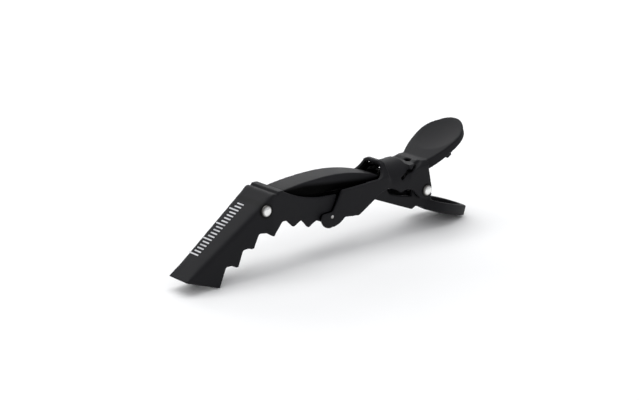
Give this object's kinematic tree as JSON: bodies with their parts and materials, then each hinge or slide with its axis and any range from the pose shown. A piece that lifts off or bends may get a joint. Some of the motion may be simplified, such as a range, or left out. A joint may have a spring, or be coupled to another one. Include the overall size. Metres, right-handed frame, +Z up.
{
  "type": "sectioning clip",
  "caption": "Long double-hinged hair sectioning clip: toothed hinged front jaw, lower jaw with finger lever, rear jaw with thumb lever, elastic bow and torsion spring.",
  "frame": {"origin": "middle of the clip's length and width, on the surface that the closed clip lies on", "axes": "+X along the clip from the nose to the levers, +Y across it, +Z up from the resting surface towards the bow"},
  "size_m": [0.111, 0.0164, 0.0315],
  "materials": {
    "front_shell": "soft-touch matt black moulding",
    "rear_shell": "soft-touch matt black moulding",
    "lower_shell": "soft-touch matt black moulding",
    "bow_nylon": "flexible black moulding, slightly smoother than the jaws",
    "rivet_silver": "bright nickel-plated dome",
    "pin_steel": "drawn pin",
    "print_silver": "silver pad-printed ink on the head",
    "spring_wire": "drawn spring wire"
  },
  "bodies": {
    "rear_jaw": {"rear_jaw": "rear_shell", "bow": "bow_nylon", "main_rivet": "rivet_silver", "knuckle_pin_left": "pin_steel", "knuckle_pin_right": "pin_steel", "torsion_spring": "spring_wire"},
    "front_jaw": {"front_jaw": "front_shell", "front_rivet": "rivet_silver"},
    "lower_jaw": {"lower_jaw": "lower_shell"}
  },
  "joints": [
    {"name": "lower_jaw_hinge", "type": "hinge", "parent": "rear_jaw", "child": "lower_jaw", "pos_m": [0.03518, 0, 0.01292], "axis": [0, -1, 0], "range_deg": [0, 35], "stiffness_Nm_per_rad": 0.15, "springref_deg": -45.84, "deforming": ["torsion_spring"]},
    {"name": "knuckle_hinge", "type": "hinge", "parent": "rear_jaw", "child": "front_jaw", "pos_m": [-0.0031, 0, 0.0126], "axis": [0, 1, 0], "range_deg": [0, 20], "stiffness_Nm_per_rad": 0.08, "springref_deg": -20.05, "deforming": ["bow"]}
  ]
}
